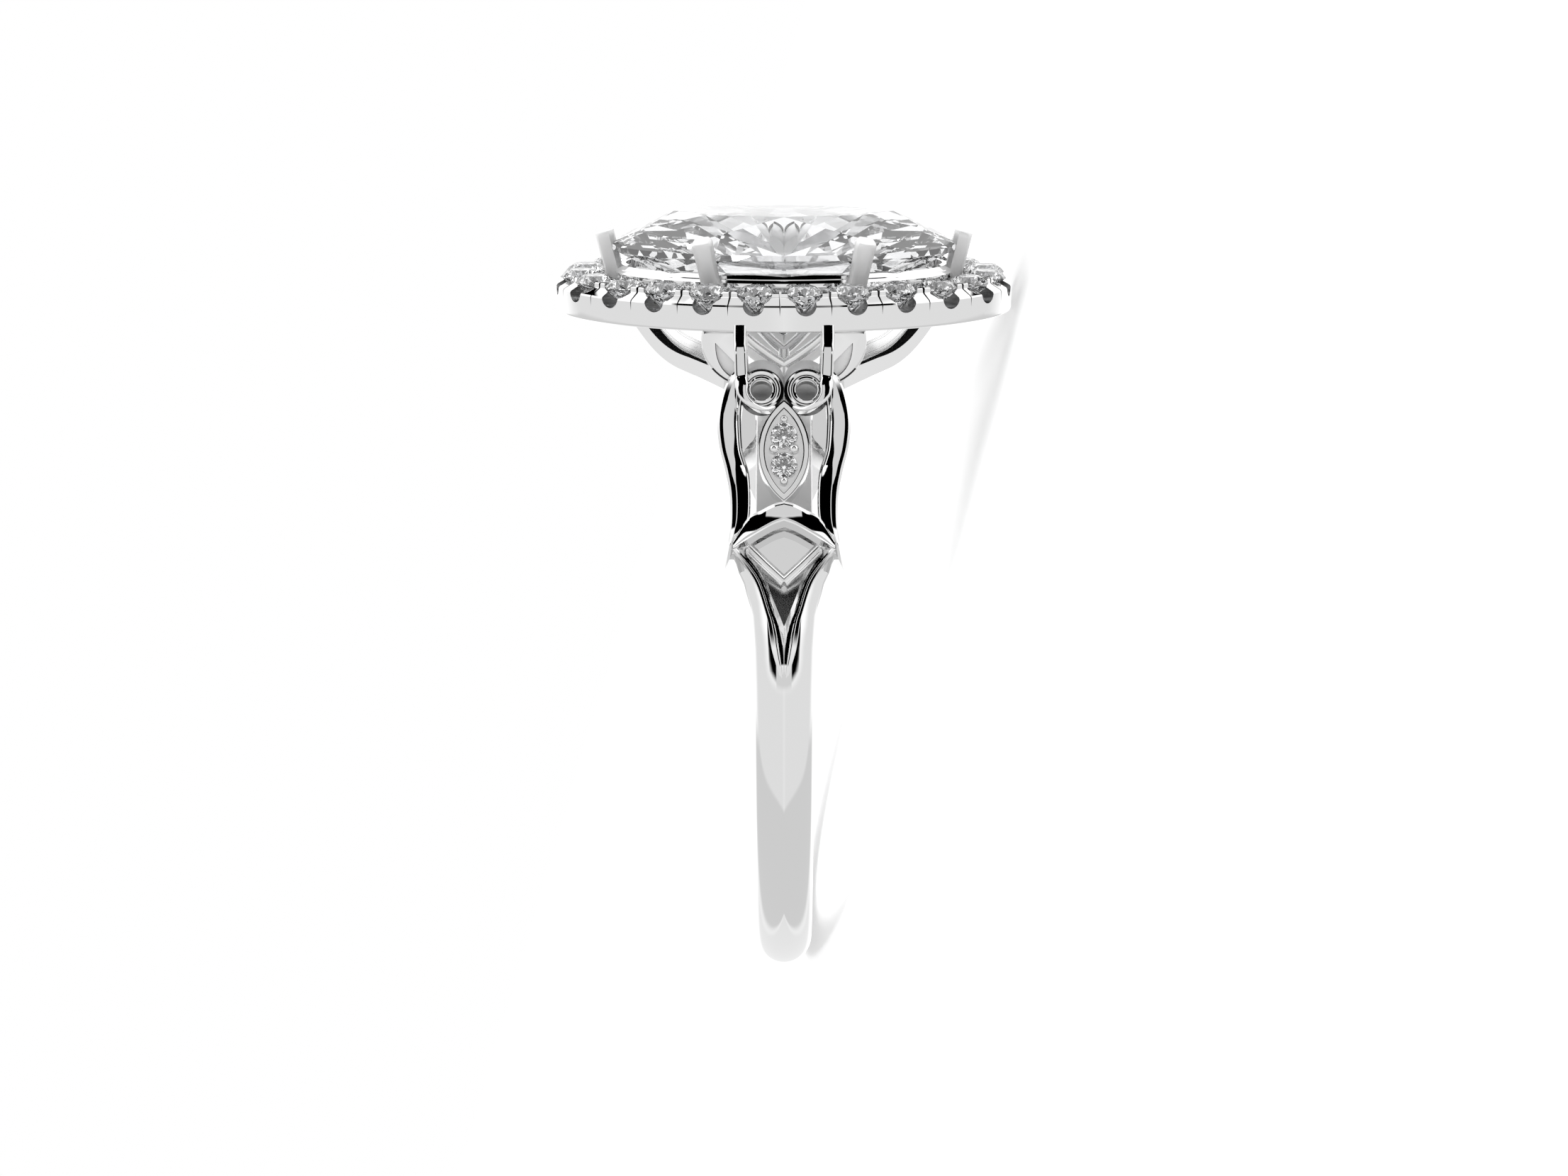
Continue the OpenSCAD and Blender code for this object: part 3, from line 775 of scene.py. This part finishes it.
def halo_place(pitches):
    """Matrix that puts a drawing on the halo's centre line, with its X axis outwards."""
    goal = (pitches % HALO_COUNT) / HALO_COUNT * lengths[-1]
    k = next(i for i, length in enumerate(lengths) if length >= goal)
    turn = math.atan2(HALO_A * math.sin(angles[k]), HALO_B * math.cos(angles[k]))
    return Matrix.Translation(spots[k]) @ Matrix.Rotation(turn, 4, "Z")


# Each cutter is drawn once, with its X axis outwards, and set round the halo: the notch and the
# conical seat at every stone, the saw cut halfway to the next.
circle = [(math.cos(math.radians(a)), math.sin(math.radians(a))) for a in range(0, 360, 10)]
notch = [[Vector((x, NOTCH_R * c, NOTCH_Z + NOTCH_R * s)) for c, s in circle] for x in (0.0, 1.3)]
cone = [(0.1, 13.05), (0.67, 13.62), (0.67, 14.3)]
seat = [[Vector((r * c, r * s, z)) for c, s in circle] for r, z in cone]
wedge = [(0.0, 13.06), (0.055, 14.0), (-0.055, 14.0)]
slit = [[Vector((x, y, z)) for y, z in wedge] for x in (0.1, 1.3)]
for drawing, shift in ((notch, 0.0), (seat, 0.0), (slit, 0.5)):
    cutters = []
    for n in range(HALO_COUNT):
        here = halo_place(n + STONE_PHASE + shift)
        cutters.append(loft("cutter", [[here @ p for p in row] for row in drawing]))
    cut(halo, cutters)

# The milled notches are rougher and painted a dull grey, as painted shade under the stones, and
# the saw cuts are painted dark, as painted shade in the slits.
for finish in (white_gold, polished_gold("white_gold_notch_painted_shade", "9C9C9C", 0.3, 0.2), painted_shade_gold):
    halo.data.materials.append(finish)
ways = [halo_place(n / 2 + STONE_PHASE).inverted() for n in range(2 * HALO_COUNT)]
# Notch faces get the painted grey shade, and saw cut faces get the painted dark shade.
for face in halo.data.polygons:
    for n, way in enumerate(ways):
        spot = way @ face.center
        facing = way.to_3x3() @ face.normal
        off = math.hypot(spot.y, spot.z - NOTCH_Z)
        if n % 2 == 0 and spot.x > 0.05 and off < NOTCH_R + 0.005 and abs(facing.x) < 0.5:
            face.material_index = 1
        if n % 2 == 1 and spot.x > 0.1 and abs(spot.y) < 0.06 and abs(facing.y) > 0.8:
            face.material_index = 2
settle(halo, "halo", 20)


# Stones: colourless diamonds, brilliant cut on a lap with flat facets and sharp edges, which
# throw light back at high contrast. A slight cloudiness keeps them from looking like air.
diamond = bpy.data.materials.new("diamond_brilliant_cut")
diamond.use_nodes = True
tree = diamond.node_tree
shader = tree.nodes["Principled BSDF"]
shader.inputs["IOR"].default_value = 2.417
shader.inputs["Transmission Weight"].default_value = 1.0
place = add_node(tree, "ShaderNodeTexCoord", {}, {})
cloud = add_node(tree, "ShaderNodeTexNoise", {"Scale": 600.0, "Detail": 2.0},
                 {"Vector": place.outputs["Object"]})
tint = add_node(tree, "ShaderNodeValToRGB", {}, {"Fac": cloud.outputs["Fac"]})
tint.color_ramp.elements[0].color = srgb("F7F8FA")
tint.color_ramp.elements[1].color = srgb("FFFFFF")
polish = add_node(tree, "ShaderNodeMapRange", {"To Min": 0.0, "To Max": 0.002},
                  {"Value": cloud.outputs["Fac"]})
tree.links.new(tint.outputs["Color"], shader.inputs["Base Color"])
tree.links.new(polish.outputs["Result"], shader.inputs["Roughness"])
for node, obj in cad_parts.items():
    if node != "mount":
        obj.data.materials.clear()
        obj.data.materials.append(diamond)


# Studio: a white table in a white room, as seen in the picture. The room's light and dark
# fields are placed round the ring's own upright, since they give the metal its reflections.
bpy.ops.object.select_all(action="DESELECT")
bpy.ops.mesh.primitive_plane_add(size=1.2, location=(0, 0, 0))
table = bpy.context.object
table.name = "table"

# Satin white laminate with a grain too fine to see. It glows a little, so that it stays as
# white as the ground in the picture.
white_laminate = bpy.data.materials.new("white_laminate_satin")
white_laminate.use_nodes = True
tree = white_laminate.node_tree
shader = tree.nodes["Principled BSDF"]
shader.inputs["Base Color"].default_value = srgb("FAFAFA")
shader.inputs["Emission Color"].default_value = srgb("FFFFFF")
shader.inputs["Emission Strength"].default_value = 0.25
place = add_node(tree, "ShaderNodeTexCoord", {}, {})
grain = add_node(tree, "ShaderNodeTexNoise", {"Scale": 300.0}, {"Vector": place.outputs["Object"]})
satin = add_node(tree, "ShaderNodeMapRange", {"To Min": 0.6, "To Max": 0.75},
                 {"Value": grain.outputs["Fac"]})
tree.links.new(satin.outputs["Result"], shader.inputs["Roughness"])
table.data.materials.append(white_laminate)
table.visible_glossy = False
table.visible_transmission = False

world = bpy.data.worlds.new("white_room")
bpy.context.scene.world = world
world.use_nodes = True
tree = world.node_tree
tree.nodes.clear()
place = add_node(tree, "ShaderNodeTexCoord", {}, {})
upright = Matrix.Rotation(math.pi / 2 - LIE_TILT, 3, "Y").inverted().to_euler()
turned = add_node(tree, "ShaderNodeMapping", {"vector_type": "POINT", "Rotation": upright},
                  {"Vector": place.outputs["Generated"]})
axes = add_node(tree, "ShaderNodeSeparateXYZ", {}, {"Vector": turned.outputs["Vector"]})


# Directions in the room are read in degrees: up from level, and round from the front to
# either side.
height = axes.outputs["Z"]
for operation in ("ARCSINE", "DEGREES"):
    height = add_node(tree, "ShaderNodeMath", {"operation": operation}, {0: height}).outputs["Value"]
ahead = add_node(tree, "ShaderNodeMath", {"operation": "MULTIPLY", 1: -1.0}, {0: axes.outputs["Y"]})
turn = add_node(tree, "ShaderNodeMath", {"operation": "ARCTAN2"},
                {0: axes.outputs["X"], 1: ahead.outputs["Value"]})
around = turn.outputs["Value"]
for operation in ("DEGREES", "ABSOLUTE"):
    around = add_node(tree, "ShaderNodeMath", {"operation": operation}, {0: around}).outputs["Value"]


def inside(value, low, high, soft):
    """1 between two angles in degrees, 0 outside, with soft edges."""
    rise = add_node(tree, "ShaderNodeMapRange",
                    {"interpolation_type": "SMOOTHSTEP", "From Min": low - soft, "From Max": low + soft},
                    {"Value": value})
    fall = add_node(tree, "ShaderNodeMapRange",
                    {"interpolation_type": "SMOOTHSTEP", "From Min": high - soft, "From Max": high + soft,
                     "To Min": 1.0, "To Max": 0.0}, {"Value": value})
    both = add_node(tree, "ShaderNodeMath", {"operation": "MULTIPLY"},
                    {0: rise.outputs["Result"], 1: fall.outputs["Result"]})
    return both.outputs["Value"]


# The floor's edge, seen from the ring, runs lower in front than at the sides.
floor_edge = add_node(tree, "ShaderNodeMapRange", {"From Max": 110.0, "To Min": -38.0, "To Max": -17.0},
                      {"Value": around})
above = add_node(tree, "ShaderNodeMath", {"operation": "SUBTRACT"},
                 {0: height, 1: floor_edge.outputs["Result"]})
over_edge = above.outputs["Value"]

# Each field lies over the ones before it. It gives its limits round and up, how soft they are
# round and up, and its light. Limits such as -9, 200 and -95 lie past every direction, so the
# field has no edge there.
WALLS_LIGHT = 1.35
fields = [
    (height, -9, 125, -95, 15, 18, 8, 0.90),
    (over_edge, -9, 138, -95, 0, 8, 1.5, 0.755),
    (height, 138, 200, -95, -30, 10, 5, 0.95),
    (height, -9, 27, 12, 50, 1.5, 3, 0.78),
    (height, 27, 54, 15.5, 86, 1.5, 2.5, 0.0),
    (height, -9, 50, 50, 86, 1.5, 2, 0.0),
    (height, 100, 200, 62, 84, 8, 4, 0.92),
    (height, 138, 156, 33, 40, 2, 1, 0.0),
]
light = None
for level_of, az_low, az_high, el_low, el_high, soft_az, soft_el, level in fields:
    field = add_node(tree, "ShaderNodeMath", {"operation": "MULTIPLY"},
                     {0: inside(around, az_low, az_high, soft_az),
                      1: inside(level_of, el_low, el_high, soft_el)})
    room = add_node(tree, "ShaderNodeMix", {2: WALLS_LIGHT, 3: level}, {0: field.outputs["Value"]})
    if light is not None:
        tree.links.new(light, room.inputs[2])
    light = room.outputs[0]

# The stones see a white room with a black curtain in front and a few black flags about it, and
# behind the ring the wall is white.
flags = add_node(tree, "ShaderNodeTexVoronoi", {"Scale": 1.7, "Randomness": 0.9},
                 {"Vector": turned.outputs["Vector"]})
flag = add_node(tree, "ShaderNodeSeparateColor", {}, {"Color": flags.outputs["Color"]})
flagged = add_node(tree, "ShaderNodeMapRange",
                   {"From Min": 0.2, "From Max": 0.22, "To Min": 0.03, "To Max": 1.15},
                   {"Value": flag.outputs[0]})
curtain = add_node(tree, "ShaderNodeMath", {"operation": "MULTIPLY"},
                   {0: inside(around, -9, 30, 2), 1: inside(height, -12, 50, 2)})
stones_see = add_node(tree, "ShaderNodeMix", {3: 0.02},
                      {0: curtain.outputs["Value"], 2: flagged.outputs["Result"]})
paths = add_node(tree, "ShaderNodeLightPath", {}, {})
with_stones = add_node(tree, "ShaderNodeMix", {},
                       {0: paths.outputs["Is Transmission Ray"], 2: light, 3: stones_see.outputs[0]})
seen = add_node(tree, "ShaderNodeMix", {3: 1.0},
                {0: paths.outputs["Is Camera Ray"], 2: with_stones.outputs[0]})
colour = add_node(tree, "ShaderNodeCombineColor", {},
                  {0: seen.outputs[0], 1: seen.outputs[0], 2: seen.outputs[0]})
shine = add_node(tree, "ShaderNodeBackground", {"Strength": 1.0}, {"Color": colour.outputs["Color"]})
add_node(tree, "ShaderNodeOutputWorld", {}, {"Surface": shine.outputs["Background"]})

# A softbox above the front left casts the soft shadow to the right.
bpy.ops.object.light_add(type="AREA", location=(-0.12, -0.16, 0.3))
softbox = bpy.context.object
softbox.name = "softbox"
softbox.data.shape = "RECTANGLE"
softbox.data.size = 0.16
softbox.data.size_y = 0.1
softbox.data.energy = 0.35
softbox.visible_glossy = False
softbox.rotation_euler = (Vector((0, 0, 0.005)) - softbox.location).to_track_quat("-Z", "Y").to_euler()

# Colours are shown as they are, and light stops bouncing where more would hardly show.
scene = bpy.context.scene
scene.view_settings.view_transform = "Standard"
scene.cycles.max_bounces = 20
scene.cycles.glossy_bounces = 10
scene.cycles.transmission_bounces = 18


# Camera: 80 mm from the ring, 15.6 degrees above its finger hole's axis, as in the picture.
# It leans with the lying ring, so that the head is up in the frame.
AIM_Z = 2.836
DISTANCE = 80.0
RISE = math.radians(15.56)
FRAME_WIDTH = 53.95
SENSOR = 36.0
bpy.ops.object.camera_add()
camera = bpy.context.object
camera.name = "camera"
camera.data.sensor_width = SENSOR
camera.data.lens = SENSOR * DISTANCE / FRAME_WIDTH
camera.data.clip_start = 0.001
camera.data.clip_end = 10.0
upright_view = (Matrix.Translation((0, -DISTANCE * math.cos(RISE), AIM_Z + DISTANCE * math.sin(RISE)))
                @ Matrix.Rotation(math.pi / 2 - RISE, 4, "X"))
spot = lying @ (upright_view.to_translation() * MM)
camera.matrix_world = Matrix.Translation(spot) @ (lying @ upright_view).to_3x3().to_4x4()
scene.camera = camera
